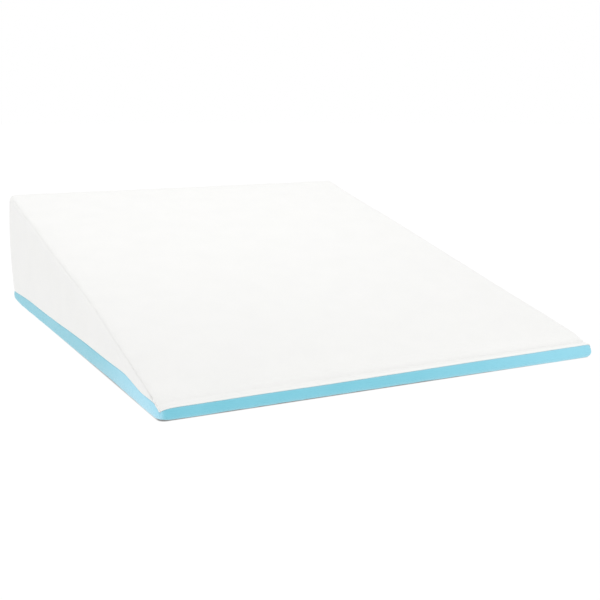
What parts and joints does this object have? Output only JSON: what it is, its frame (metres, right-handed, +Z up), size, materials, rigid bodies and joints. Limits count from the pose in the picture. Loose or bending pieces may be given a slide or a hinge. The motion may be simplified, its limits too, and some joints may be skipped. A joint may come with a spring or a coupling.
{
  "type": "incline wedge mat",
  "caption": "Soft foam incline wedge in a white sewn cover with a light-blue border round its base, low at the front and high at the back.",
  "frame": {"origin": "on the floor under the middle of the mat", "axes": "+X across the mat, -Y towards its low front end, +Y towards its high back, +Z up"},
  "size_m": [0.6, 0.7236, 0.1759],
  "materials": {
    "white_knit": "matt fine white knit",
    "blue_knit": "matt light-blue knit",
    "comfort_foam": "open-cell comfort foam, matt",
    "support_foam": "open-cell support foam, matt",
    "zip_tape": "woven polyester tape, matt",
    "zip_coil": "nylon monofilament, satin",
    "zip_metal": "white enamel, semi-gloss",
    "label": "blank satin ribbon"
  },
  "bodies": {
    "mat": {"top_panel": "white_knit", "left_side_panel": "white_knit", "right_side_panel": "white_knit", "back_panel": "white_knit", "left_zip_tab": "white_knit", "right_zip_tab": "white_knit", "base_panel": "blue_knit", "front_border": "blue_knit", "left_border": "blue_knit", "right_border": "blue_knit", "back_border": "blue_knit", "comfort_foam": "comfort_foam", "support_foam": "support_foam", "upper_zip_tape": "zip_tape", "lower_zip_tape": "zip_tape", "upper_zip_coil": "zip_coil", "lower_zip_coil": "zip_coil", "upper_top_stop": "zip_metal", "lower_top_stop": "zip_metal", "bottom_stop": "zip_metal", "care_label": "label"},
    "slider": {"zip_slider": "zip_metal"},
    "pull": {"zip_pull": "zip_metal"}
  },
  "joints": [
    {"name": "zip_travel", "type": "slide", "parent": "mat", "child": "slider", "axis": [1, 0, 0], "range_m": [0, 0.5354], "deforming": ["upper_zip_coil", "lower_zip_coil"]},
    {"name": "pull_flip", "type": "hinge", "parent": "slider", "child": "pull", "pos_m": [-0.2677, 0.362, 0.0205], "axis": [0, 0, 1], "range_deg": [0, 180]}
  ]
}
